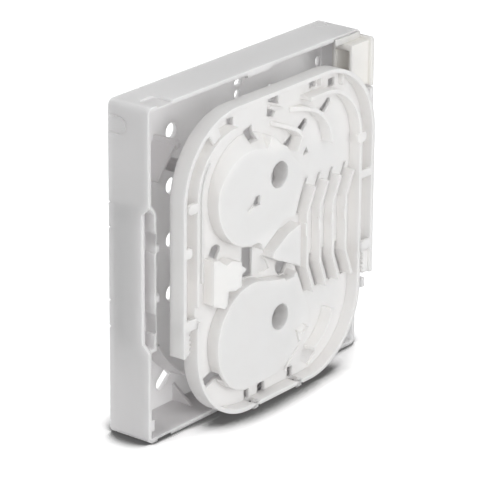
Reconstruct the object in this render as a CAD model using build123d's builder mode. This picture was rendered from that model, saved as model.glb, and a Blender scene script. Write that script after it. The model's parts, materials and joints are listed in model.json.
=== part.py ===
from build123d import *
import math
import os

os.makedirs("parts", exist_ok=True)

# Wall tray: outer size and planes across the depth (front is -Y, the wall is +Y)
BASE_W = 146.0
BASE_H = 150.0
RIM_Y = -5.0
BACK_Y = 17.0
BASE_D = BACK_Y - RIM_Y
WALL_T = 2.0
PANEL_T = 2.2
PANEL_Y = BACK_Y - PANEL_T
INNER_D = PANEL_Y - RIM_Y
CORNER_R = 3.0
BACK_EDGE_R = 0.8
HALF_W = BASE_W / 2
INNER_HALF = HALF_W - WALL_T
MID_Z = BASE_H / 2

# Clearances between mouldings
PIN_PLAY = 0.05
SWING_GAP = 0.6
REST_GAP = 0.3
SNAP_GAP = 0.05

# Cassette: planes across the depth
FLOOR_BACK_Y = -9.2
FLOOR_T = 1.8
FLOOR_Y = FLOOR_BACK_Y - FLOOR_T
RIM_TALL = 6.0
LIP_Y = FLOOR_Y - RIM_TALL
SKIN_T = 1.8
RAMP_DROP = 3.0

# Cassette: outline seen from the front, measured from its own centre line
TRAY_X = 2.3
OUTER_HALF = 66.6
RIM_PITCH = 9.0
INNER_RIM_HALF = OUTER_HALF - RIM_PITCH
OUTER_TOP_Z = 142.3
INNER_TOP_Z = OUTER_TOP_Z - RIM_PITCH
OUTER_R = 35.8
INNER_R = OUTER_R - RIM_PITCH
ARCH_Z = OUTER_TOP_Z - OUTER_R
ARCH_X = OUTER_HALF - OUTER_R
LOWER_R = 36.0
LOWER_X = INNER_RIM_HALF - LOWER_R
BOTTOM_Z = 1.5
LOWER_Z = BOTTOM_Z + LOWER_R
MOUTH_Z = 39.5
RIM_T = 1.9

SLIP_X = 54.4
SLIP_T = 1.2

# Cassette: coiling drums
DRUM_R = 24.4
DRUM_X = -19.3
DRUM_UP_Z = 101.7
DRUM_LOW_Z = 35.4
DRUM_HOLE_R = 5.9
SLOPE_X = -2.1
SLOPE_Z = -5.6
SLOPE_FOOT_R = 24.8
SLOPE_LIP_R = 24.1
SLOPE_REACH_R = 26.5

# Hinge between wall tray and cassette
HINGE_Y = -16.05
HINGE_Z = 2.45
HINGE_PITCH = 30.8
HINGE_CX = 1.3
HINGE_XS = (HINGE_CX - HINGE_PITCH / 2, HINGE_CX + HINGE_PITCH / 2)
BAR_R = 0.95
CLIP_R = 1.85
CLIP_FRONT_Y = -16.9
ARM_W = 2.2
ARM_T = 1.2
WINDOW_W = ARM_W + 2.0
WINDOW_BACK_Y = FLOOR_Y - 0.2
GROOVE_W = 3.4
GROOVE_L = 5.0

# Splice fins: a chevron comb at the right of the drums
FIN_T = 1.5
FIN_PITCH = 9.3
FIN_X0 = 20.2
FIN_TALL = 4.8
FIN_TOP_Y = FLOOR_Y - FIN_TALL
FIN_COUNT = 4
FIN_MID_LOW = 54.5
FIN_MID_TOP = 80.1
FIN_TOP_Z = 91.0
FIN_LOW_Z = 41.9
FIN_LEAN = 5.0
SLIT_W = 1.8
SLIT_GAP = 0.1

# Port insert at the upper right
INS_X0 = 58.7
INS_Y0 = -11.0
INS_Y1 = -0.3
INS_Z0 = 126.0
INS_Z1 = 146.2
PORT_Y0 = -8.9
PORT_Y1 = -2.3
PORT_Z0 = 131.0
PORT_Z1 = 143.1
FLANGE_Y = -12.7
FLANGE_Z0 = 125.2
FLANGE_Z1 = 147.4
PLUG_Z1 = 147.0
LIP_T = 1.2

# Raised guard of the right wall
GUARD_Y = FLANGE_Y
GUARD_Z0 = 76.0
GUARD_Z1 = FLANGE_Z0 - 0.8

# Wall screw holes and slots
SCREW_R = 3.7
SCREW_SPACING_X = 68.0
SCREW_PITCH_Z = 24.5
SCREW_ROWS = 4
SCREW_Z0 = 52.6
SLOT_W = 6.0
SLOT_L = 9.5
SLOT_X = 41.5
SLOT_Z = 12.5
SLOT_TURN = 40.0

# Storage ring and rest posts on the back panel
RING_R = 68.5
RING_T = 1.5
RING_TALL = 12.0
POST_X = 38.0
POST_Z = 112.0
POST_R = 3.0

# Knock-outs scored in the walls
SCORE_W = 0.6
SCORE_DEEP = 0.5


def front_plane(y, x=0.0):
    """Plane facing the front: local x is X, local y is Z."""
    return Plane(origin=(x, y, 0), x_dir=(1, 0, 0), z_dir=(0, -1, 0))


def side_plane(x):
    """Plane facing +X: local x is Y, local y is Z."""
    return Plane(origin=(x, 0, 0), x_dir=(0, 1, 0), z_dir=(1, 0, 0))


def tray_plane(y):
    """Front plane on the cassette's own centre line."""
    return front_plane(y, TRAY_X)


def arch_wall(half, top_z, radius, low_z):
    """Band of an inverted U with rounded shoulders, one rim thick."""
    cx = half - radius
    cz = top_z - radius
    with BuildSketch() as band:
        with BuildLine():
            Line((-half, low_z), (-half, cz))
            CenterArc((-cx, cz), radius, 180, -90)
            Line((-cx, top_z), (cx, top_z))
            CenterArc((cx, cz), radius, 90, -90)
            Line((half, cz), (half, low_z))
            Line((half, low_z), (half - RIM_T, low_z))
            Line((half - RIM_T, low_z), (half - RIM_T, cz))
            CenterArc((cx, cz), radius - RIM_T, 0, 90)
            Line((cx, top_z - RIM_T), (-cx, top_z - RIM_T))
            CenterArc((-cx, cz), radius - RIM_T, 90, 90)
            Line((-half + RIM_T, cz), (-half + RIM_T, low_z))
            Line((-half + RIM_T, low_z), (-half, low_z))
        make_face()
    return band.sketch


def ring_sector(radius, width, cx, cz, start, sweep):
    """Flat ring sector between two angles."""
    with BuildSketch() as sector:
        with BuildLine():
            outer = CenterArc((cx, cz), radius, start, sweep)
            inner = CenterArc((cx, cz), radius - width, start, sweep)
            Line(outer @ 0, inner @ 0)
            Line(outer @ 1, inner @ 1)
        make_face()
    return sector.sketch


def u_score(width, length):
    """Groove outline of a knock-out: a U with a round end toward -x, open at x = 0."""
    with BuildSketch() as groove:
        with Locations((-length / 2 + width / 4, 0)):
            Rectangle(length - width / 2, width)
        with Locations((-length + width / 2, 0)):
            Circle(width / 2)
        with Locations((-length / 2 + width / 4, 0)):
            Rectangle(length - width / 2 + 0.02, width - 2 * SCORE_W, mode=Mode.SUBTRACT)
        with Locations((-length + width / 2, 0)):
            Circle(width / 2 - SCORE_W, mode=Mode.SUBTRACT)
    return groove.sketch


# Wall tray: shell, partitions, storage ring, knock-outs and hinge arms
with BuildPart() as base_housing:
    with BuildSketch(front_plane(BACK_Y)):
        with Locations((0, MID_Z)):
            RectangleRounded(BASE_W, BASE_H, CORNER_R)
    extrude(amount=BASE_D)
    back_edges = base_housing.edges().group_by(Axis.Y)[-1]
    fillet(back_edges, BACK_EDGE_R)
    with BuildSketch(front_plane(PANEL_Y)):
        with Locations((0, MID_Z)):
            RectangleRounded(BASE_W - 2 * WALL_T, BASE_H - 2 * WALL_T, CORNER_R - WALL_T)
    extrude(amount=BASE_D, mode=Mode.SUBTRACT)

    # Left wall: cut-back skin with slanted ends
    with BuildSketch(side_plane(-HALF_W)):
        Polygon(
            (RIM_Y - 1, 40.4),
            (RIM_Y, 41.4),
            (RIM_Y + 3.6, 45.0),
            (RIM_Y + 3.6, 103.0),
            (RIM_Y, 106.6),
            (RIM_Y - 1, 107.6),
            align=None,
        )
    extrude(amount=WALL_T, mode=Mode.SUBTRACT)

    # Left wall: inner partition that bridges the cut-back
    with BuildSketch(front_plane(PANEL_Y + 0.5)):
        Polygon(
            (-INNER_HALF - 0.5, 107.9),
            (-67.4, 103.2),
            (-67.4, 41.6),
            (-INNER_HALF - 0.5, 41.6),
            (-INNER_HALF - 0.5, 43.0),
            (-68.8, 43.0),
            (-68.8, 102.6),
            (-INNER_HALF - 0.5, 106.0),
            align=None,
        )
    extrude(amount=INNER_D + 0.5)

    # Latch pockets in the partition, open at the rim
    with BuildSketch(side_plane(-68.8)):
        with Locations((RIM_Y + 2.3, 90.0), (RIM_Y + 2.3, 53.8)):
            Rectangle(6.6, 8.8)
    extrude(amount=0.8, mode=Mode.SUBTRACT)

    # Rounded knuckles on the partition
    with BuildSketch(side_plane(-67.6)):
        with Locations((RIM_Y + 3.0, 86.9), (RIM_Y + 3.0, 64.6)):
            RectangleRounded(6.0, 4.4, 1.6)
    extrude(amount=2.1)

    # Storage ring segments on the back panel
    with BuildSketch(front_plane(PANEL_Y + 0.5)):
        for start, sweep in ((131, 16), (33, 16), (213, 34), (293, 34)):
            add(ring_sector(RING_R, RING_T, 0, MID_Z, start, sweep))
    extrude(amount=RING_TALL + 0.5)

    # Two fingers reaching forward from the ring
    with BuildSketch(side_plane(-46.2)):
        with Locations((PANEL_Y - 6.5, 125.7)):
            SlotOverall(15.0, 4.0)
    extrude(amount=1.6)
    with BuildSketch(side_plane(44.6)):
        with Locations((PANEL_Y - 6.5, 125.7)):
            SlotOverall(15.0, 4.0)
    extrude(amount=1.6)

    # Rest posts behind the cassette floor
    with BuildSketch(front_plane(PANEL_Y + 0.5)):
        with Locations((TRAY_X - POST_X, POST_Z), (TRAY_X + POST_X, POST_Z)):
            Circle(POST_R)
            Circle(POST_R - 1.5, mode=Mode.SUBTRACT)
    extrude(amount=PANEL_Y + 0.5 - FLOOR_BACK_Y - REST_GAP)

    # Gussets between the bottom wall and the back panel
    with BuildSketch(side_plane(-33.5)):
        Polygon((PANEL_Y + 1, 1), (PANEL_Y + 1, 10), (PANEL_Y, 10), (RIM_Y + 8, 1), align=None)
    extrude(amount=1.6)
    with BuildSketch(side_plane(31.9)):
        Polygon((PANEL_Y + 1, 1), (PANEL_Y + 1, 10), (PANEL_Y, 10), (RIM_Y + 8, 1), align=None)
    extrude(amount=1.6)

    # Catch lip under the top rim and small catch low on the left wall
    with BuildSketch(side_plane(-7.0)):
        Polygon(
            (RIM_Y, BASE_H - 1),
            (RIM_Y, BASE_H - WALL_T - 1.4),
            (RIM_Y + 1.6, BASE_H - WALL_T - 1.4),
            (RIM_Y + 3.2, BASE_H - 1),
            align=None,
        )
    extrude(amount=17.0)
    with BuildSketch(side_plane(-INNER_HALF - 0.5)):
        with Locations((RIM_Y + 2.0, 8.0)):
            Rectangle(4.0, 5.0)
    extrude(amount=2.4)

    # Raised guard in front of the right wall, with a shallow dip
    with BuildSketch(side_plane(INNER_HALF)):
        Polygon(
            (RIM_Y + 1, GUARD_Z0 - 4.0),
            (RIM_Y, GUARD_Z0 - 4.0),
            (GUARD_Y, GUARD_Z0),
            (GUARD_Y, 98.6),
            (GUARD_Y + 1.0, 100.0),
            (GUARD_Y + 1.0, 112.0),
            (GUARD_Y, 113.4),
            (GUARD_Y, GUARD_Z1),
            (RIM_Y + 1, GUARD_Z1),
            align=None,
        )
        Polygon((RIM_Y + 1, 27.6), (-10.0, 29.0), (-10.0, 33.3), (RIM_Y + 1, 33.3), align=None)
    extrude(amount=WALL_T)

    # Ledge beside the guard, trimmed to clear the swinging cassette
    with BuildSketch(front_plane(RIM_Y + 3.0)):
        with Locations((INNER_HALF - 5.0, 118.4)):
            Rectangle(11.0, 12.0)
        with Locations((TRAY_X + ARCH_X, ARCH_Z)):
            Circle(OUTER_R + SWING_GAP, mode=Mode.SUBTRACT)
    extrude(amount=8.5)
    with BuildSketch(front_plane(RIM_Y - 5.4)):
        with Locations((INNER_HALF - 1.6, 121.4)):
            RectangleRounded(3.2, 4.2, 1.2)
    extrude(amount=1.6)

    # Seat for the port insert in the right wall
    with BuildSketch(side_plane(INNER_HALF - 0.5)):
        with Locations(((RIM_Y - 1 + INS_Y1) / 2, (INS_Z0 + PLUG_Z1) / 2)):
            Rectangle(INS_Y1 - RIM_Y + 1, PLUG_Z1 - INS_Z0 + 2 * SNAP_GAP)
    extrude(amount=WALL_T + 1, mode=Mode.SUBTRACT)

    # Shallow finger recesses in the top and bottom walls, open at the rim
    with BuildSketch(Plane.XY.offset(BASE_H)):
        with Locations((-62.5, RIM_Y + 4.5)):
            RectangleRounded(10.0, 11.0, 2.5)
    extrude(amount=-1.0, mode=Mode.SUBTRACT)
    with BuildSketch(Plane.XY):
        with Locations((-62.7, RIM_Y + 4.5)):
            RectangleRounded(10.0, 11.0, 2.5)
    extrude(amount=1.0, mode=Mode.SUBTRACT)

    # Nicks along the back edge of the top wall
    with BuildSketch(Plane.XY.offset(BASE_H)):
        with Locations(*[(x, BACK_Y) for x in (-53.7, -34.7, -15.2, 35.7, 66.0)]):
            Rectangle(1.6, 2.4)
    extrude(amount=-1.4, mode=Mode.SUBTRACT)

    # Scored knock-outs in the left and right walls, with nicks along their back edges
    for wall_x, into in ((-HALF_W, SCORE_DEEP), (HALF_W, -SCORE_DEEP)):
        with BuildSketch(side_plane(wall_x)):
            with Locations((BACK_Y, 140.0)):
                add(u_score(8.0, 10.5))
        extrude(amount=into, mode=Mode.SUBTRACT)
        with BuildSketch(side_plane(wall_x)):
            for nick_z in (49.0, 61.0, 93.7, 105.0):
                with Locations((BACK_Y, nick_z)):
                    Rectangle(2.4, 0.9)
        extrude(amount=3 * into, mode=Mode.SUBTRACT)

    # Scored knock-out in the top wall near the port
    with BuildSketch(Plane.XY.offset(BASE_H)):
        with Locations(Location((65.5, BACK_Y, 0), (0, 0, 90))):
            add(u_score(7.0, 8.5))
    extrude(amount=-SCORE_DEEP, mode=Mode.SUBTRACT)

    # Wall screw holes in two columns
    screw_mid = SCREW_Z0 + SCREW_PITCH_Z * (SCREW_ROWS - 1) / 2
    with BuildSketch(front_plane(BACK_Y)):
        with Locations((0, screw_mid)):
            with GridLocations(SCREW_SPACING_X, SCREW_PITCH_Z, 2, SCREW_ROWS):
                Circle(SCREW_R)
    extrude(amount=PANEL_T, mode=Mode.SUBTRACT)

    # Diagonal screw slots in the two lower corners
    with BuildSketch(front_plane(BACK_Y)):
        for sx in (-1, 1):
            spin = SLOT_TURN if sx < 0 else 180 - SLOT_TURN
            with Locations(Location((sx * SLOT_X, SLOT_Z, 0), (0, 0, spin))):
                Rectangle(SLOT_L - SLOT_W / 2, SLOT_W, align=(Align.MIN, Align.CENTER))
                Circle(SLOT_W / 2)
    extrude(amount=PANEL_T, mode=Mode.SUBTRACT)

    # Two hanging holes at the top centre and a small oval hole near the port
    with BuildSketch(front_plane(BACK_Y)):
        with Locations((10.9, 131.0)):
            Circle(2.2)
        with Locations((11.4, 136.2)):
            SlotOverall(5.6, 3.0)
        with Locations((68.2, 131.8)):
            SlotOverall(4.6, 3.2, rotation=90)
    extrude(amount=PANEL_T, mode=Mode.SUBTRACT)

    # Hinge arms: flat fingers from the bottom wall that end in open clips
    for hx in HINGE_XS:
        with BuildSketch(side_plane(hx - ARM_W / 2)):
            Polygon(
                (HINGE_Y, 0),
                (RIM_Y + 4, 0),
                (RIM_Y + 4, WALL_T - 0.2),
                (RIM_Y, WALL_T - 0.2),
                (RIM_Y - 1.2, ARM_T),
                (HINGE_Y, ARM_T),
                align=None,
            )
            with Locations((HINGE_Y, HINGE_Z)):
                Circle(CLIP_R)
                Circle(BAR_R + PIN_PLAY, mode=Mode.SUBTRACT)
            with Locations((CLIP_FRONT_Y, HINGE_Z)):
                Rectangle(4.0, 2 * CLIP_R + 1, align=(Align.MAX, Align.CENTER), mode=Mode.SUBTRACT)
        extrude(amount=ARM_W)

base_housing.part.label = "base_housing"
export_step(base_housing.part, "parts/base_housing.step")


# Port insert: block with the connector opening, outer flange and a lip over the rim
with BuildPart() as port_insert:
    with BuildSketch(front_plane(INS_Y1)):
        with Locations(((INS_X0 + INNER_HALF) / 2, (INS_Z0 + INS_Z1) / 2)):
            Rectangle(INNER_HALF - INS_X0, INS_Z1 - INS_Z0)
        with Locations((TRAY_X + ARCH_X, ARCH_Z)):
            Circle(OUTER_R + SWING_GAP, mode=Mode.SUBTRACT)
    extrude(amount=INS_Y1 - INS_Y0)
    with BuildSketch(side_plane(INNER_HALF)):
        with Locations(((INS_Y1 + RIM_Y) / 2, (INS_Z0 + PLUG_Z1) / 2)):
            Rectangle(INS_Y1 - RIM_Y, PLUG_Z1 - INS_Z0)
        Polygon(
            (RIM_Y, FLANGE_Z0),
            (FLANGE_Y, FLANGE_Z0),
            (FLANGE_Y, FLANGE_Z1 - 1.0),
            (FLANGE_Y + 1.0, FLANGE_Z1),
            (RIM_Y, FLANGE_Z1),
            align=None,
        )
    extrude(amount=WALL_T)
    # Lip in front of the top rim, tied to the block
    with BuildSketch(front_plane(RIM_Y)):
        with Locations(((53.6 + INNER_HALF) / 2, 147.6)):
            Rectangle(INNER_HALF - 53.6, 2.8)
        with Locations(((INS_X0 + INNER_HALF) / 2, 146.0)):
            Rectangle(INNER_HALF - INS_X0, 2.0)
    extrude(amount=LIP_T)
    # Rim around the left mouth of the block
    with BuildSketch(side_plane(INS_X0)):
        with Locations(((PORT_Y0 + PORT_Y1) / 2, (PORT_Z0 + PORT_Z1) / 2)):
            Rectangle(PORT_Y1 - PORT_Y0 + 1.2, PORT_Z1 - PORT_Z0 + 1.2)
    extrude(amount=0.8, mode=Mode.SUBTRACT)
    # Connector opening straight through to the outside
    with BuildSketch(side_plane(INS_X0)):
        with Locations(((PORT_Y0 + PORT_Y1) / 2, (PORT_Z0 + PORT_Z1) / 2)):
            Rectangle(PORT_Y1 - PORT_Y0, PORT_Z1 - PORT_Z0)
    extrude(amount=HALF_W - INS_X0 + 1, mode=Mode.SUBTRACT)

port_insert.part.label = "port_insert"
export_step(port_insert.part, "parts/port_insert.step")


# Hollow behind the upper drum, one skin smaller than its sloping outside
with BuildPart() as drum_hollow:
    with BuildSketch(tray_plane(FLOOR_BACK_Y)):
        with Locations((DRUM_X, DRUM_UP_Z)):
            Circle(DRUM_R - SKIN_T)
    with BuildSketch(tray_plane(LIP_Y + SKIN_T)):
        with Locations((DRUM_X + SLOPE_X, DRUM_UP_Z + SLOPE_Z)):
            Circle(DRUM_R - SKIN_T - 0.6)
    loft()
    with BuildSketch(tray_plane(FLOOR_BACK_Y)):
        with Locations((DRUM_X, DRUM_UP_Z)):
            Circle(DRUM_R - SKIN_T)
    extrude(amount=FLOOR_T + RIM_TALL, mode=Mode.INTERSECT)


# Space in front of the upper drum's sloping wall
with BuildPart() as drum_slope:
    with BuildSketch(tray_plane(FLOOR_Y)):
        with Locations((DRUM_X, DRUM_UP_Z)):
            Circle(SLOPE_REACH_R)
        Polygon(
            (DRUM_X - 40, DRUM_UP_Z + 2),
            (DRUM_X, DRUM_UP_Z + 2),
            (DRUM_X + 17, DRUM_UP_Z + 30),
            (DRUM_X + 40, DRUM_UP_Z + 30),
            (DRUM_X + 40, DRUM_UP_Z - 40),
            (DRUM_X - 40, DRUM_UP_Z - 40),
            align=None,
            mode=Mode.SUBTRACT,
        )
    extrude(amount=RIM_TALL)
    with BuildSketch(tray_plane(FLOOR_Y)):
        with Locations((DRUM_X, DRUM_UP_Z)):
            Circle(SLOPE_FOOT_R)
    with BuildSketch(tray_plane(LIP_Y)):
        with Locations((DRUM_X + SLOPE_X, DRUM_UP_Z + SLOPE_Z)):
            Circle(SLOPE_LIP_R)
    loft(mode=Mode.SUBTRACT)


# Splice cassette: floor, double rim, drums, fins, guide ribs and hinge bars
fin_xs = [FIN_X0 + FIN_PITCH * i for i in range(FIN_COUNT)]
with BuildPart() as splice_cassette:
    with BuildSketch(tray_plane(FLOOR_BACK_Y)):
        with BuildLine():
            Line((-OUTER_HALF, MOUTH_Z), (-OUTER_HALF, ARCH_Z))
            CenterArc((-ARCH_X, ARCH_Z), OUTER_R, 180, -90)
            Line((-ARCH_X, OUTER_TOP_Z), (ARCH_X, OUTER_TOP_Z))
            CenterArc((ARCH_X, ARCH_Z), OUTER_R, 90, -90)
            Line((OUTER_HALF, ARCH_Z), (OUTER_HALF, MOUTH_Z))
            Line((OUTER_HALF, MOUTH_Z), (INNER_RIM_HALF, MOUTH_Z))
            Line((INNER_RIM_HALF, MOUTH_Z), (INNER_RIM_HALF, LOWER_Z))
            CenterArc((LOWER_X, LOWER_Z), LOWER_R, 0, -90)
            Line((LOWER_X, BOTTOM_Z), (-LOWER_X, BOTTOM_Z))
            CenterArc((-LOWER_X, LOWER_Z), LOWER_R, 270, -90)
            Line((-INNER_RIM_HALF, LOWER_Z), (-INNER_RIM_HALF, MOUTH_Z))
            Line((-INNER_RIM_HALF, MOUTH_Z), (-OUTER_HALF, MOUTH_Z))
        make_face()
    extrude(amount=FLOOR_T)

    # Outer rim: an arch with open ends
    with BuildSketch(tray_plane(FLOOR_Y)):
        add(arch_wall(OUTER_HALF, OUTER_TOP_Z, OUTER_R, MOUTH_Z))
    extrude(amount=RIM_TALL)

    # Inner rim: arch above, closed bowl below, open along the top left
    with BuildSketch(tray_plane(FLOOR_Y)):
        add(arch_wall(INNER_RIM_HALF, INNER_TOP_Z, INNER_R, LOWER_Z))
        with BuildLine():
            bowl_r = CenterArc((LOWER_X, LOWER_Z), LOWER_R, 0, -90)
            bowl_f = Line((LOWER_X, BOTTOM_Z), (-LOWER_X, BOTTOM_Z))
            bowl_l = CenterArc((-LOWER_X, LOWER_Z), LOWER_R, 270, -90)
            Line(bowl_l @ 1, (-INNER_RIM_HALF + RIM_T, LOWER_Z))
            CenterArc((-LOWER_X, LOWER_Z), LOWER_R - RIM_T, 180, 90)
            Line((-LOWER_X, BOTTOM_Z + RIM_T), (LOWER_X, BOTTOM_Z + RIM_T))
            CenterArc((LOWER_X, LOWER_Z), LOWER_R - RIM_T, 270, 90)
            Line((INNER_RIM_HALF - RIM_T, LOWER_Z), bowl_r @ 0)
        make_face()
        with Locations((-5.6, INNER_TOP_Z - 1.0)):
            Rectangle(50.4, 6.0, mode=Mode.SUBTRACT)
    extrude(amount=RIM_TALL)

    # Thin rib just inside the left rim, following its shoulder
    with BuildSketch(tray_plane(FLOOR_Y)):
        with Locations((-SLIP_X + SLIP_T / 2, (70.0 + ARCH_Z) / 2)):
            Rectangle(SLIP_T, ARCH_Z - 70.0)
        add(ring_sector(SLIP_X - ARCH_X, SLIP_T, -ARCH_X, ARCH_Z, 139, 41))
    extrude(amount=RIM_TALL - 0.3)

    # Shallow notch in the lip of the left inner rim
    with BuildSketch(tray_plane(LIP_Y)):
        with Locations((-INNER_RIM_HALF + RIM_T / 2, 56.7)):
            Rectangle(RIM_T + 1, 6.8)
    extrude(amount=-1.6, mode=Mode.SUBTRACT)

    # Coiling drums with the plateaus beside them
    with BuildSketch(tray_plane(FLOOR_Y)):
        with Locations((DRUM_X, DRUM_UP_Z)):
            Circle(DRUM_R)
        with Locations((DRUM_X, DRUM_LOW_Z)):
            Circle(DRUM_R)
        Polygon(
            (DRUM_X, 79.0),
            (DRUM_X, 119.0),
            (-4.0, 119.5),
            (3.0, 115.5),
            (8.0, 109.6),
            (13.4, 104.5),
            (15.2, 97.9),
            (9.3, 81.8),
            (2.7, 83.0),
            (-3.5, 79.1),
            (-12.9, 73.0),
            (-14.4, 76.2),
            align=None,
        )
        Polygon(
            (DRUM_X, 58.0),
            (-13.1, 58.2),
            (2.5, 55.2),
            (3.3, 54.0),
            (9.0, 54.0),
            (10.8, 56.2),
            (16.0, 44.6),
            (21.0, 34.0),
            (20.0, 27.0),
            (13.5, 21.5),
            (7.0, 16.8),
            (-2.0, 12.6),
            (-11.7, 12.0),
            (DRUM_X, 12.0),
            align=None,
        )
        # Right middle platform
        Polygon(
            (13.5, 77.3),
            (5.0, 75.5),
            (-5.1, 69.5),
            (-5.8, 67.0),
            (-3.0, 65.3),
            (3.9, 62.2),
            (12.0, 58.6),
            (13.5, 57.2),
            align=None,
        )
        with Locations((DRUM_X - 8, 4.0)):
            Rectangle(30.0, 16.0, mode=Mode.SUBTRACT)
    extrude(amount=RIM_TALL)

    # Hollow backs of the drums, one skin thick all round
    with BuildSketch(tray_plane(FLOOR_BACK_Y)):
        with Locations((DRUM_X, DRUM_LOW_Z)):
            Circle(DRUM_R - SKIN_T)
        Polygon(
            (DRUM_X, 79.6),
            (DRUM_X, 112.4),
            (-6.4, 112.4),
            (-2.6, 114.6),
            (1.9, 113.8),
            (6.8, 108.2),
            (11.9, 103.4),
            (13.3, 97.9),
            (8.2, 85.6),
            (1.6, 84.8),
            (-5.2, 80.4),
            (-13.0, 79.8),
            align=None,
        )
        Polygon(
            (DRUM_X, 13.8),
            (-12.0, 13.8),
            (-2.6, 14.4),
            (6.0, 18.2),
            (9.3, 21.3),
            (9.3, 33.0),
            (18.8, 34.0),
            (14.2, 44.0),
            (10.2, 52.2),
            (2.0, 52.2),
            (-6.0, 54.4),
            (DRUM_X, 55.4),
            align=None,
        )
        Polygon(
            (11.7, 74.9),
            (5.6, 73.6),
            (-3.2, 68.4),
            (-2.4, 67.2),
            (4.8, 63.9),
            (11.7, 60.8),
            align=None,
        )
        with Locations((DRUM_X, 8.8)):
            Rectangle(60.0, 10.0, mode=Mode.SUBTRACT)
        with Locations((-2.0, DRUM_UP_Z + 2.5), (-0.6, 38.3)):
            Circle(DRUM_HOLE_R + SKIN_T, mode=Mode.SUBTRACT)
    extrude(amount=FLOOR_T + RIM_TALL - SKIN_T, mode=Mode.SUBTRACT)
    add(drum_hollow.part, mode=Mode.SUBTRACT)
    with BuildSketch(tray_plane(FLOOR_Y)):
        with Locations((-2.0, DRUM_UP_Z + 2.5)):
            Circle(DRUM_HOLE_R + SKIN_T)
    extrude(amount=RIM_TALL)

    # Slope at the upper left of the upper drum
    add(drum_slope.part, mode=Mode.SUBTRACT)

    # Round holes through the drums
    with BuildSketch(tray_plane(LIP_Y)):
        with Locations((-2.0, DRUM_UP_Z + 2.5), (-0.6, 38.3)):
            Circle(DRUM_HOLE_R)
    extrude(amount=-(RIM_TALL + FLOOR_T), mode=Mode.SUBTRACT)

    # Left middle platform with its small tongue
    with BuildSketch(tray_plane(FLOOR_Y)):
        Polygon(
            (-46.6, 77.6),
            (-46.6, 57.3),
            (-39.2, 53.8),
            (-37.2, 54.8),
            (-36.5, 61.0),
            (-31.8, 59.9),
            (-27.6, 60.5),
            (-27.5, 66.2),
            (-24.1, 67.7),
            (-27.5, 70.0),
            (-27.6, 71.8),
            (-34.4, 74.4),
            (-37.8, 73.4),
            (-43.6, 77.2),
            align=None,
        )
    extrude(amount=RIM_TALL)

    # Shallow pocket in the floor between the drums
    with BuildSketch(tray_plane(FLOOR_Y)):
        Polygon((-10.2, 65.3), (-7.5, 67.6), (-3.6, 64.6), (-1.2, 59.6), (-8.6, 59.6), align=None)
    extrude(amount=-0.7, mode=Mode.SUBTRACT)

    # Hook recess with a thin slit, and two shallow channels below it
    with BuildSketch(tray_plane(LIP_Y)):
        Polygon(
            (10.4, 28.9),
            (15.9, 30.3),
            (19.6, 27.6),
            (17.6, 25.6),
            (15.2, 25.0),
            (13.2, 26.6),
            align=None,
        )
        Polygon((10.4, 28.4), (11.5, 28.4), (13.6, 22.4), (12.5, 22.0), align=None)
    extrude(amount=-SKIN_T + 0.4, mode=Mode.SUBTRACT)
    with BuildSketch(tray_plane(FLOOR_Y)):
        Polygon((8.6, 12.6), (14.5, 18.1), (20.4, 16.2), (10.4, 7.0), align=None)
        Polygon((23.4, 13.3), (33.0, 9.4), (27.5, 5.0), (22.0, 8.9), align=None)
    extrude(amount=-0.9, mode=Mode.SUBTRACT)

    # Guide ribs: two curved fingers above, one below
    with BuildSketch(tray_plane(FLOOR_Y)):
        add(ring_sector(24.2, RIM_T, 13.2, 105.5, 8, 86))
        Polygon(
            (-1.5, 127.0),
            (4.9, 124.5),
            (9.4, 122.5),
            (12.6, 120.5),
            (15.6, 117.3),
            (11.9, 110.5),
            (10.3, 111.2),
            (13.5, 116.9),
            (11.3, 119.0),
            (8.6, 120.8),
            (4.2, 122.8),
            (-2.0, 125.3),
            align=None,
        )
        add(ring_sector(24.2, RIM_T, 15.7, 36.0, 293, 52))
    extrude(amount=RIM_TALL)

    # Left ends of the two upper ribs slope down to the floor
    for low_z, high_z, end_x in ((124.4, 130.8, 11.2), (121.4, 128.0, -2.4)):
        with BuildSketch(Plane.XY.offset(low_z)):
            Polygon(
                (TRAY_X + end_x - 0.5, LIP_Y - 0.5),
                (TRAY_X + end_x + 9.0, LIP_Y - 0.5),
                (TRAY_X + end_x + 8.0, LIP_Y),
                (TRAY_X + end_x, FLOOR_Y - 0.6),
                (TRAY_X + end_x - 0.5, FLOOR_Y - 0.6),
                align=None,
            )
        extrude(amount=high_z - low_z, mode=Mode.SUBTRACT)

    # Low rib between the two small windows at the top
    with BuildSketch(tray_plane(FLOOR_Y)):
        Polygon((-3.6, 133.4), (4.4, 130.8), (4.8, 132.0), (-3.4, 134.6), align=None)
    extrude(amount=2.0)

    # Splice fins with leaning ends
    with BuildSketch(tray_plane(FLOOR_Y)):
        for fx in fin_xs:
            Polygon(
                (fx - FIN_T / 2, FIN_MID_LOW),
                (fx - FIN_T / 2 + FIN_LEAN, FIN_LOW_Z),
                (fx + FIN_T / 2 + FIN_LEAN, FIN_LOW_Z),
                (fx + FIN_T / 2, FIN_MID_LOW),
                (fx + FIN_T / 2, FIN_MID_TOP),
                (fx + FIN_T / 2 + FIN_LEAN, FIN_TOP_Z),
                (fx - FIN_T / 2 + FIN_LEAN, FIN_TOP_Z),
                (fx - FIN_T / 2, FIN_MID_TOP),
                align=None,
            )
    extrude(amount=FIN_TALL)

    # Retaining nubs on the left sides of the fins
    with BuildSketch(tray_plane(FIN_TOP_Y)):
        for fx in fin_xs:
            with Locations((fx - FIN_T / 2, 72.5)):
                Rectangle(1.2, 5.6)
    extrude(amount=-1.4)

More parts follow.
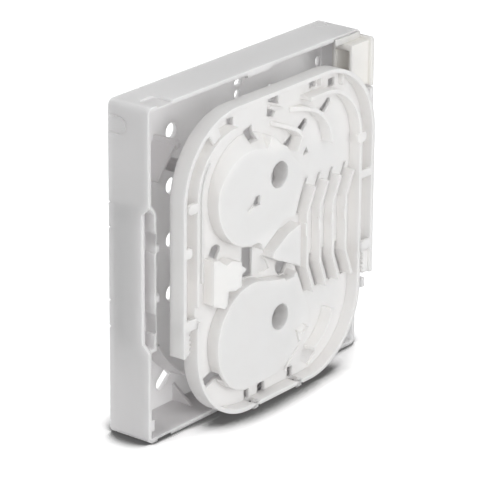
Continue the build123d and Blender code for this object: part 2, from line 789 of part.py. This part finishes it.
    # Slits in the floor at the left feet of the fins, running past their ends
    upper_run = (94.0 - FIN_MID_TOP) * FIN_LEAN / (FIN_TOP_Z - FIN_MID_TOP)
    lower_run = (FIN_MID_LOW - 41.2) * FIN_LEAN / (FIN_MID_LOW - FIN_LOW_Z)
    with BuildSketch(tray_plane(FLOOR_Y)):
        for fx in fin_xs:
            near = fx - FIN_T / 2 - SLIT_GAP
            far = near - SLIT_W
            Polygon(
                (far, 79.0),
                (near, 79.0),
                (near, FIN_MID_TOP),
                (near + upper_run, 94.0),
                (far + upper_run, 94.0),
                (far, FIN_MID_TOP),
                align=None,
            )
            Polygon(
                (far, 58.0),
                (far, FIN_MID_LOW),
                (far + lower_run, 41.2),
                (near + lower_run, 41.2),
                (near, FIN_MID_LOW),
                (near, 58.0),
                align=None,
            )
    extrude(amount=-FLOOR_T, mode=Mode.SUBTRACT)

    # Cut-outs through the floor
    with BuildSketch(tray_plane(FLOOR_Y)):
        Polygon((-3.0, 135.8), (-3.0, 138.8), (3.8, 138.4), (4.4, 133.2), align=None)
        Polygon((-3.6, 129.8), (-3.6, 132.8), (2.1, 130.4), (0.6, 128.0), align=None)
        Polygon((31.9, 122.0), (35.9, 119.6), (41.2, 124.4), (41.2, 126.2), (39.2, 127.2), align=None)
        Polygon((16.8, 118.1), (20.5, 115.3), (24.8, 118.9), (24.6, 120.8), (22.6, 122.0), align=None)
        Polygon((7.9, 113.9), (13.1, 116.6), (19.6, 113.6), (19.6, 110.8), (12.8, 111.6), align=None)
        Polygon((22.2, 105.0), (26.0, 105.4), (24.4, 108.6), align=None)
        Polygon(
            (-43.0, 77.8),
            (-37.9, 74.4),
            (-35.3, 78.2),
            (-35.3, 79.8),
            (-37.3, 81.4),
            (-40.7, 81.1),
            align=None,
        )
        Polygon((-20.4, 74.8), (-13.2, 72.9), (-13.2, 60.0), (-20.4, 60.6), align=None)
        Polygon(
            (4.4, 61.7),
            (11.6, 58.4),
            (9.0, 54.4),
            (5.3, 54.4),
            (3.3, 57.4),
            (3.4, 59.7),
            align=None,
        )
        Polygon((-48.4, 21.9), (-40.6, 24.4), (-34.9, 21.2), (-45.8, 16.8), align=None)
        with Locations((-6.2, 5.4)):
            RectangleRounded(5.2, 4.8, 1.2)
    extrude(amount=-FLOOR_T, mode=Mode.SUBTRACT)

    # Window in the foot of the upper drum's cone, and the low window through the lower drum's wall
    with BuildSketch(tray_plane(LIP_Y)):
        Polygon((-20.0, 122.4), (-20.0, 127.2), (-14.3, 128.7), (-13.6, 122.4), align=None)
    extrude(amount=-(RIM_TALL + FLOOR_T), mode=Mode.SUBTRACT)
    with BuildSketch(tray_plane(FLOOR_Y)):
        Polygon((-48.4, 21.9), (-40.6, 24.4), (-34.9, 21.2), (-45.8, 16.8), align=None)
    extrude(amount=RIM_TALL - SKIN_T, mode=Mode.SUBTRACT)

    # Keyhole on the upper drum: a window with a shallow lead-in groove
    with BuildSketch(tray_plane(LIP_Y)):
        with Locations((-17.2, 96.6)):
            Rectangle(3.2, 4.4)
    extrude(amount=-SKIN_T, mode=Mode.SUBTRACT)
    with BuildSketch(tray_plane(LIP_Y)):
        Polygon((-25.2, 95.0), (-18.0, 98.0), (-17.0, 95.4), (-23.6, 93.4), align=None)
    extrude(amount=-SKIN_T / 2, mode=Mode.SUBTRACT)

    # Rounded finger tabs that overhang the rim channel
    with BuildSketch(tray_plane(LIP_Y)):
        for cx, cz, w, h in (
            (-60.3, 105.0, 6.0, 4.4),
            (-63.4, 86.0, 4.8, 4.4),
            (57.4, 105.3, 6.2, 4.4),
            (61.1, 87.6, 9.2, 3.6),
        ):
            with Locations((cx, cz)):
                RectangleRounded(w, h, 1.5)
        add(ring_sector(34.2, 6.0, -ARCH_X, ARCH_Z, 114, 11))
    extrude(amount=-1.4)

    # Cross ridges and pockets in the upper right channel
    with BuildSketch(tray_plane(FLOOR_Y)):
        with Locations((32.4, 137.8), (47.8, 134.4)):
            Rectangle(1.6, 6.0)
    extrude(amount=2.2)
    with BuildSketch(tray_plane(FLOOR_Y)):
        with Locations((28.2, 136.4), (41.8, 133.4), (-29.0, 133.6)):
            Rectangle(4.6, 3.8)
    extrude(amount=-FLOOR_T, mode=Mode.SUBTRACT)

    # Channel mouths: bridges and serrated strips
    for side in (-1, 1):
        with BuildSketch(tray_plane(LIP_Y)):
            with Locations((side * 62.2, 53.4)):
                Rectangle(9.0, 4.6)
        extrude(amount=-SKIN_T)
        with BuildSketch(tray_plane(FLOOR_Y)):
            with Locations((side * 63.2, 45.0)):
                Rectangle(3.4, 11.0)
            for i in range(5):
                with Locations((side * 61.2, 41.0 + 2.2 * i)):
                    Rectangle(1.4, 1.1)
        extrude(amount=RIM_TALL - 1.4)

    # Hinge: windows in the bottom rim, round bars across them, small grooves above in the floor
    for hx in HINGE_XS:
        with BuildSketch(Plane.XY.offset(BOTTOM_Z - 1)):
            with Locations((hx, WINDOW_BACK_Y)):
                Rectangle(WINDOW_W, 8.0, align=(Align.CENTER, Align.MAX))
        extrude(amount=RIM_T + 1.2, mode=Mode.SUBTRACT)
        with BuildSketch(side_plane(hx - WINDOW_W / 2 - 0.6)):
            with Locations((HINGE_Y, HINGE_Z)):
                Circle(BAR_R)
        extrude(amount=WINDOW_W + 1.2)
        with BuildSketch(front_plane(FLOOR_Y)):
            with Locations((hx, BOTTOM_Z + RIM_T + GROOVE_L / 2)):
                Rectangle(GROOVE_W, GROOVE_L)
        extrude(amount=-FLOOR_T, mode=Mode.SUBTRACT)

splice_cassette.part.label = "splice_cassette"
export_step(splice_cassette.part, "parts/splice_cassette.step")
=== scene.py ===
"""Looks of a wall junction box with a hinged splice cassette and a snap-in port."""

import enum
import json
import logging
import math
from dataclasses import dataclass, field
from typing import Any

import bpy
from mathutils import Matrix, Vector

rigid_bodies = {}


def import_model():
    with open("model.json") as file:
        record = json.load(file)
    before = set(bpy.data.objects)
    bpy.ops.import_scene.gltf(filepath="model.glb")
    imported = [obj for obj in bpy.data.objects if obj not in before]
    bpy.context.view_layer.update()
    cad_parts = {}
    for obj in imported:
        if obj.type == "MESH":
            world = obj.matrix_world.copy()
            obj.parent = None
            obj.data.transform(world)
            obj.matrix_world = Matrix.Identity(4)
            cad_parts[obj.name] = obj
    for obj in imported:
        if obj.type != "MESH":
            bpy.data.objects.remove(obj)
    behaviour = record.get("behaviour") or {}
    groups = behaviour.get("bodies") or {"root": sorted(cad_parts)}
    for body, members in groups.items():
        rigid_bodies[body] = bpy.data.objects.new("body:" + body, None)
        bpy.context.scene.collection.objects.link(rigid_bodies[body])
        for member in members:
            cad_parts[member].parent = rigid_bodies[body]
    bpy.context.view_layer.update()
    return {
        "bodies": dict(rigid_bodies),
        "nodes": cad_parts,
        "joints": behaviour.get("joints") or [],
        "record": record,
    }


LOG = logging.getLogger("junction_box")
MM = 0.001
WHITE = (1.0, 1.0, 1.0, 1.0)
Stops = tuple[tuple[float, float], tuple[float, float]]


class Plastic(enum.Enum):
    """The three mouldings' plastics, named as in the record."""

    HOUSING = "housing"
    CASSETTE = "cassette"
    PORT = "port"


class Value:
    """One shader value; arithmetic on it adds Math nodes."""

    def __init__(self, graph: "ShaderGraph", socket: bpy.types.NodeSocket) -> None:
        """Keeps the graph and the socket that carries the value."""
        self.graph = graph
        self.socket = socket

    def _math(
        self, operation: str, first: "Value | float", second: "Value | float"
    ) -> "Value":
        """Adds one Math node.

        Args:
            operation: The Math node's operation.
            first: A Value or a number.
            second: A Value or a number.

        Returns:
            The node's result.
        """
        node = self.graph.node(
            "ShaderNodeMath", {"operation": operation}, {0: first, 1: second}
        )
        return Value(self.graph, node.outputs[0])

    def __add__(self, other: "Value | float") -> "Value":
        """This value plus another."""
        return self._math("ADD", self, other)

    def __radd__(self, other: float) -> "Value":
        """A number plus this value."""
        return self._math("ADD", other, self)

    def __sub__(self, other: "Value | float") -> "Value":
        """This value less another."""
        return self._math("SUBTRACT", self, other)

    def __rsub__(self, other: float) -> "Value":
        """A number less this value."""
        return self._math("SUBTRACT", other, self)

    def __mul__(self, other: "Value | float") -> "Value":
        """This value times another."""
        return self._math("MULTIPLY", self, other)

    def __rmul__(self, other: float) -> "Value":
        """A number times this value."""
        return self._math("MULTIPLY", other, self)

    def __pow__(self, other: "Value | float") -> "Value":
        """This value to a power."""
        return self._math("POWER", self, other)

    def clamped(self) -> "Value":
        """This value held between 0 and 1."""
        node = self.graph.node("ShaderNodeClamp", {}, {0: self})
        return Value(self.graph, node.outputs[0])


class ShaderGraph:
    """The node tree of one material or of the world, built node by node."""

    def __init__(self, owner: bpy.types.Material | bpy.types.World) -> None:
        """Starts an empty tree.

        Args:
            owner: The material or the world that the tree belongs to.
        """
        owner.use_nodes = True
        self.tree = owner.node_tree
        self.tree.nodes.clear()

    def node(
        self, kind: str, settings: dict[str, Any], inputs: dict[str | int, Any]
    ) -> bpy.types.Node:
        """Adds a node.

        Args:
            kind: The node's type.
            settings: Its own settings, set first; "stops" are a ramp's stops.
            inputs: Values or links, by the socket's name or number.

        Returns:
            The node.
        """
        made = self.tree.nodes.new(kind)
        for key, setting in settings.items():
            if key == "stops":
                self._set_stops(made, setting)
            else:
                setattr(made, key, setting)
        for key, given in inputs.items():
            socket = made.inputs[key]
            source = given.socket if isinstance(given, Value) else given
            if isinstance(source, bpy.types.NodeSocket):
                self.tree.links.new(source, socket)
            else:
                socket.default_value = source
        return made

    @staticmethod
    def _set_stops(node: bpy.types.Node, stops: Stops) -> None:
        """Sets the two stops of a grey colour ramp.

        Args:
            node: The ramp.
            stops: Position and grey level of each stop.
        """
        for element, (position, level) in zip(node.color_ramp.elements, stops):
            element.position = position
            element.color = (level, level, level, 1.0)

    def noise(self, scale: float, detail: float, roughness: float) -> Value:
        """Noise over the piece, in the row frame.

        Args:
            scale: Cells in a metre.
            detail: Octaves.
            roughness: Strength of the finer octaves.

        Returns:
            The noise, from 0 to 1.
        """
        where = self.node("ShaderNodeTexCoord", {}, {})
        made = self.node(
            "ShaderNodeTexNoise",
            {"noise_dimensions": "3D"},
            {
                "Vector": where.outputs["Object"],
                "Scale": scale,
                "Detail": detail,
                "Roughness": roughness,
            },
        )
        return Value(self, made.outputs[0])

    def ramp(self, value: Value, stops: Stops) -> Value:
        """A value through a grey ramp.

        Args:
            value: What goes in.
            stops: Position and grey level of each stop.

        Returns:
            The ramp's grey.
        """
        made = self.node("ShaderNodeValToRGB", {"stops": stops}, {0: value})
        return Value(self, made.outputs[0])

    def blend(
        self, share: Value, first: tuple[float, ...], second: tuple[float, ...]
    ) -> bpy.types.NodeSocket:
        """Mixes two colours.

        Args:
            share: How much of the second colour.
            first: The first colour, linear RGB and alpha.
            second: The second colour.

        Returns:
            The socket of the mixed colour.
        """
        made = self.node(
            "ShaderNodeMix",
            {"data_type": "RGBA", "blend_type": "MIX"},
            {0: share, 6: first, 7: second},
        )
        return made.outputs[2]

    def bump(
        self, height: Value, strength: float, distance: float, under: bpy.types.NodeSocket
    ) -> bpy.types.NodeSocket:
        """Turns a height into a normal.

        Args:
            height: The height.
            strength: The bump's strength.
            distance: The height's unit, in metres.
            under: The normal that this one goes over.

        Returns:
            The socket of the normal.
        """
        made = self.node(
            "ShaderNodeBump",
            {},
            {"Height": height, "Strength": strength, "Distance": distance, "Normal": under},
        )
        return made.outputs[0]

    def facing(self, side: tuple[float, float, float]) -> Value:
        """How far a direction of the surroundings points to one side.

        Args:
            side: The side.

        Returns:
            The dot product of the direction and the side.
        """
        where = self.node("ShaderNodeTexCoord", {}, {})
        toward = self.node(
            "ShaderNodeVectorMath",
            {"operation": "DOT_PRODUCT"},
            {0: where.outputs["Generated"], 1: side},
        )
        return Value(self, toward.outputs["Value"])

    def camera_ray(self) -> Value:
        """The value that is 1 for what the camera sees directly, and else 0."""
        path = self.node("ShaderNodeLightPath", {}, {})
        return Value(self, path.outputs["Is Camera Ray"])

    def mix_shaders(
        self, share: Value, first: bpy.types.Node, second: bpy.types.Node
    ) -> bpy.types.Node:
        """Mixes two shaders.

        Args:
            share: How much of the second shader.
            first: The first shader's node.
            second: The second shader's node.

        Returns:
            The Mix Shader node.
        """
        return self.node(
            "ShaderNodeMixShader", {}, {0: share, 1: first.outputs[0], 2: second.outputs[0]}
        )


def srgb(red: float, green: float, blue: float) -> tuple[float, float, float, float]:
    """Turns a display colour into linear light.

    Args:
        red: Red, from 0 to 255.
        green: Green, from 0 to 255.
        blue: Blue, from 0 to 255.

    Returns:
        Linear RGB and alpha.
    """

    def linear(level: float) -> float:
        """One channel to linear light."""
        share = level / 255.0
        return share / 12.92 if share <= 0.04045 else ((share + 0.055) / 1.055) ** 2.4

    return (linear(red), linear(green), linear(blue), 1.0)


@dataclass(frozen=True)
class Noise:
    """One noise of a finish: cells in a metre, octaves and strength of the finer ones."""

    scale: float
    detail: float
    roughness: float

    def on(self, graph: ShaderGraph) -> Value:
        """The noise as a value of a graph."""
        return graph.noise(self.scale, self.detail, self.roughness)


@dataclass(frozen=True)
class MouldedPlastic:
    """A white moulded plastic with fine grain, faint flow marks and softened edges."""

    name: str
    tone: tuple[float, float, float]
    shade: tuple[float, float, float]
    roughness: float
    grain: Noise
    grain_height: float
    light_reach: float
    light_share: float = 1.0
    light_spread: tuple[float, float, float] = (1.0, 1.0, 1.0)
    refraction: float = 1.5
    shine: float = 0.4
    flow: Noise = Noise(38.0, 3.0, 0.55)
    blotch: Noise = Noise(163.4, 2.0, 0.5)
    flow_share: float = 0.7
    blotch_share: float = 0.3
    mark_stops: Stops = ((0.36, 0.0), (0.68, 1.0))
    flow_height: float = 0.12 * MM
    flow_strength: float = 0.25
    grain_strength: float = 0.35
    flow_gloss: float = 0.06
    grain_gloss: float = 0.05
    edge_radius: float = 0.28 * MM
    edge_samples: int = 6

    def make(self) -> bpy.types.Material:
        """Builds the material.

        Returns:
            The material, ready to assign.
        """
        material = bpy.data.materials.new(self.name)
        graph = ShaderGraph(material)
        flow = self.flow.on(graph)
        grain = self.grain.on(graph)
        shader = graph.node(
            "ShaderNodeBsdfPrincipled",
            {},
            {
                "Base Color": self._colour(graph, flow),
                "Roughness": self._gloss(flow, grain),
                "Normal": self._normal(graph, flow, grain),
                "IOR": self.refraction,
                "Specular IOR Level": self.shine,
                "Subsurface Weight": self.light_share,
                "Subsurface Radius": self.light_spread,
                "Subsurface Scale": self.light_reach,
            },
        )
        graph.node("ShaderNodeOutputMaterial", {}, {0: shader.outputs[0]})
        return material

    def _colour(self, graph: ShaderGraph, flow: Value) -> bpy.types.NodeSocket:
        """Mixes the tone and the shade in faint marks.

        Args:
            graph: The material's graph.
            flow: The flow noise.

        Returns:
            The socket of the colour.
        """
        marks = flow * self.flow_share + self.blotch.on(graph) * self.blotch_share
        share = graph.ramp(marks, self.mark_stops)
        return graph.blend(share, srgb(*self.tone), srgb(*self.shade))

    def _gloss(self, flow: Value, grain: Value) -> Value:
        """Varies the roughness a little by the flow and the grain.

        Args:
            flow: The flow noise.
            grain: The grain noise.

        Returns:
            The roughness.
        """
        least = self.roughness - self.grain_gloss
        return least + flow * self.flow_gloss + grain * self.grain_gloss

    def _normal(self, graph: ShaderGraph, flow: Value, grain: Value) -> bpy.types.NodeSocket:
        """Softens the edges, with shallow sink marks and then fine grain over them.

        Args:
            graph: The material's graph.
            flow: The flow noise.
            grain: The grain noise.

        Returns:
            The socket of the normal.
        """
        edge = graph.node(
            "ShaderNodeBevel", {"samples": self.edge_samples}, {"Radius": self.edge_radius}
        )
        sink = graph.bump(flow, self.flow_strength, self.flow_height, edge.outputs[0])
        return graph.bump(grain, self.grain_strength, self.grain_height, sink)


FINISHES = {
    Plastic.HOUSING: MouldedPlastic(
        name="housing_white",
        tone=(250, 247, 248),
        shade=(248, 245, 246),
        roughness=0.5,
        grain=Noise(2600.0, 2.0, 0.6),
        grain_height=0.02 * MM,
        light_reach=6.0 * MM,
    ),
    Plastic.CASSETTE: MouldedPlastic(
        name="cassette_white",
        tone=(249, 247, 245),
        shade=(247, 244, 242),
        roughness=0.42,
        grain=Noise(3400.0, 2.0, 0.6),
        grain_height=0.012 * MM,
        light_reach=4.0 * MM,
    ),
    Plastic.PORT: MouldedPlastic(
        name="port_ivory",
        tone=(246, 244, 239),
        shade=(243, 240, 234),
        roughness=0.46,
        grain=Noise(3000.0, 2.0, 0.6),
        grain_height=0.015 * MM,
        light_reach=4.0 * MM,
    ),
}


@dataclass
class Moulding:
    """One packed moulding of the box, with its plastic."""

    node_name: str
    plastic: Plastic

    def build(self, frame: dict[str, Any]) -> None:
        """Dresses the moulding.

        Args:
            frame: What load() returned.
        """
        materials = frame["nodes"][self.node_name].data.materials
        materials.clear()
        materials.append(FINISHES[self.plastic].make())
        LOG.info("%s dressed in %s plastic", self.node_name, self.plastic.value)


@dataclass
class WallTray(Moulding):
    """The square tray that goes on the wall."""

    node_name: str = "base_housing"
    plastic: Plastic = Plastic.HOUSING


@dataclass
class SpliceCassette(Moulding):
    """The hinged cassette in front of the tray."""

    node_name: str = "splice_cassette"
    plastic: Plastic = Plastic.CASSETTE


@dataclass
class PortInsert(Moulding):
    """The snap-in port frame at the upper right."""

    node_name: str = "port_insert"
    plastic: Plastic = Plastic.PORT


@dataclass
class StudioCamera:
    """A long lens at the photograph's viewing angle.

    The place is in metres, the angles are in degrees, and the lens and the sensor in millimetres.
    """

    place: tuple[float, float, float] = (-1.05126, -0.82287, 0.57847)
    yaw: float = 51.806
    pitch: float = 20.838
    roll: float = 0.405
    lens: float = 247.293
    sensor: float = 36.0
    nearest: float = 0.05
    farthest: float = 20.0

    def build(self) -> None:
        """Makes the camera and sets it as the scene's."""
        data = bpy.data.cameras.new("camera")
        data.lens = self.lens
        data.sensor_width = self.sensor
        data.clip_start = self.nearest
        data.clip_end = self.farthest
        camera = bpy.data.objects.new("camera", data)
        camera.matrix_world = Matrix.Translation(self.place) @ self._turn()
        bpy.context.scene.collection.objects.link(camera)
        bpy.context.scene.camera = camera
        LOG.info("camera set")

    def _turn(self) -> Matrix:
        """Works out the camera's rotation.

        Returns:
            The rotation for its yaw, pitch and roll.
        """
        yaw, pitch, roll = (
            math.radians(angle) for angle in (self.yaw, self.pitch, self.roll)
        )
        ahead = Vector(
            (
                math.sin(yaw) * math.cos(pitch),
                math.cos(yaw) * math.cos(pitch),
                -math.sin(pitch),
            )
        )
        level = Vector((math.cos(yaw), -math.sin(yaw), 0.0))
        upright = level.cross(ahead)
        right = math.cos(roll) * level + math.sin(roll) * upright
        up = -math.sin(roll) * level + math.cos(roll) * upright
        return Matrix((right, up, -ahead)).transposed().to_4x4()


@dataclass
class Lamp:
    """A square soft box aimed at the middle of the object; metres and watts."""

    name: str
    place: tuple[float, float, float]
    power: float
    size: float = 1.0
    aim: tuple[float, float, float] = (0.0, 0.0, 0.075)

    def build(self) -> None:
        """Makes the lamp."""
        data = bpy.data.lights.new(self.name, "AREA")
        data.shape = "SQUARE"
        data.size = self.size
        data.energy = self.power
        lamp = bpy.data.objects.new(self.name, data)
        lamp.location = self.place
        toward = Vector(self.aim) - Vector(self.place)
        lamp.rotation_mode = "QUATERNION"
        lamp.rotation_quaternion = toward.to_track_quat("-Z", "Y")
        bpy.context.scene.collection.objects.link(lamp)
        LOG.info("lamp %s set", self.name)


@dataclass
class PaleFloor:
    """A floor that shows nearly white, with a painted shadow that darkens it where the object
    meets it.
    """

    half: float = 3.0
    drop: float = 0.02 * MM
    tone: tuple[float, float, float] = (232.0, 232.0, 232.0)
    glow: float = 0.72
    # painted shadow: this dark grey and the settings below it paint a shadow onto the floor near
    # the object
    painted_shadow_tone: tuple[float, float, float] = (60.0, 60.0, 60.0)
    painted_shadow_reach: float = 25.0 * MM
    painted_shadow_samples: int = 16
    painted_shadow_gain: float = 2.6
    painted_shadow_power: float = 2.2
    painted_shadow_depth: float = 0.93

    def build(self) -> None:
        """Makes the floor, which keeps the object's real shadow and also gets a painted contact
        shadow.
        """
        half = self.half
        mesh = bpy.data.meshes.new("floor")
        corners = [(-half, -half, 0), (half, -half, 0), (half, half, 0), (-half, half, 0)]
        mesh.from_pydata(corners, [], [(0, 1, 2, 3)])
        floor = bpy.data.objects.new("floor", mesh)
        floor.location.z = -self.drop
        bpy.context.scene.collection.objects.link(floor)
        floor.data.materials.append(self._material())
        LOG.info("floor set")

    def _material(self) -> bpy.types.Material:
        """Builds the floor's material.

        Returns:
            A pale surface that to the camera also glows and carries a painted contact shadow.
        """
        material = bpy.data.materials.new("pale_floor")
        graph = ShaderGraph(material)
        plain = graph.node("ShaderNodeBsdfDiffuse", {}, {"Color": srgb(*self.tone)})
        glow = graph.node("ShaderNodeEmission", {}, {"Color": WHITE, "Strength": self.glow})
        lit = graph.node("ShaderNodeAddShader", {}, {0: plain.outputs[0], 1: glow.outputs[0]})
        # painted shadow: a dark grey diffuse mixed in where the object covers the floor
        painted_shadow_grey = graph.node("ShaderNodeBsdfDiffuse", {}, {"Color": srgb(*self.painted_shadow_tone)})
        lit_with_painted_shadow = graph.mix_shaders(self._painted_contact_shadow(graph), lit, painted_shadow_grey)
        seen = graph.mix_shaders(graph.camera_ray(), plain, lit_with_painted_shadow)
        graph.node("ShaderNodeOutputMaterial", {}, {0: seen.outputs[0]})
        return material

    def _painted_contact_shadow(self, graph: ShaderGraph) -> Value:
        """Works out how much painted shadow each place on the floor gets, from how far the object
        covers it.

        Args:
            graph: The floor's graph.

        Returns:
            The share of the painted contact shadow.
        """
        # painted shadow mask: ambient occlusion sets where the dark grey is painted in
        occlusion = graph.node(
            "ShaderNodeAmbientOcclusion",
            {"samples": self.painted_shadow_samples},
            {"Distance": self.painted_shadow_reach},
        )
        open_sky = Value(graph, occlusion.outputs["AO"])
        covered = ((1.0 - open_sky) * self.painted_shadow_gain).clamped()
        return (covered**self.painted_shadow_power) * self.painted_shadow_depth


@dataclass
class Surroundings:
    """White to the camera; as light, a soft sky that is brighter to one side."""

    level: float = 0.05
    slope: float = 0.64
    bright_side: tuple[float, float, float] = (0.0, -0.1, 1.0)

    def build(self) -> None:
        """Makes the world."""
        world = bpy.data.worlds.new("surroundings")
        bpy.context.scene.world = world
        graph = ShaderGraph(world)
        strength = graph.facing(self.bright_side) * self.slope + self.level
        sky = graph.node("ShaderNodeBackground", {}, {"Color": WHITE, "Strength": strength})
        white = graph.node("ShaderNodeBackground", {}, {"Color": WHITE, "Strength": 1.0})
        seen = graph.mix_shaders(graph.camera_ray(), sky, white)
        graph.node("ShaderNodeOutputWorld", {}, {0: seen.outputs[0]})
        LOG.info("surroundings set")


@dataclass
class Studio:
    """Pale floor, white surroundings and three soft lamps."""

    floor: PaleFloor = field(default_factory=PaleFloor)
    surroundings: Surroundings = field(default_factory=Surroundings)
    lamps: tuple[Lamp, ...] = field(
        default_factory=lambda: (
            Lamp(name="side_key", place=(-0.862, -1.232, 0.622), power=6.0),
            Lamp(name="front_key", place=(0.0, -1.576, 0.353), power=10.3),
            Lamp(name="back_fill", place=(0.3, 1.5, 0.8), power=12.0),
        )
    )

    def build(self) -> None:
        """Makes the floor, the world and the lamps."""
        self.floor.build()
        self.surroundings.build()
        for lamp in self.lamps:
            lamp.build()


def main() -> None:
    """Builds the looks piece by piece."""
    logging.basicConfig(level=logging.INFO, format="%(name)s: %(message)s")
    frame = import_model()
    bpy.context.scene.view_settings.view_transform = "Standard"
    for piece in (WallTray(), SpliceCassette(), PortInsert()):
        piece.build(frame)
    Studio().build()
    StudioCamera().build()


if __name__ == "__main__":
    main()
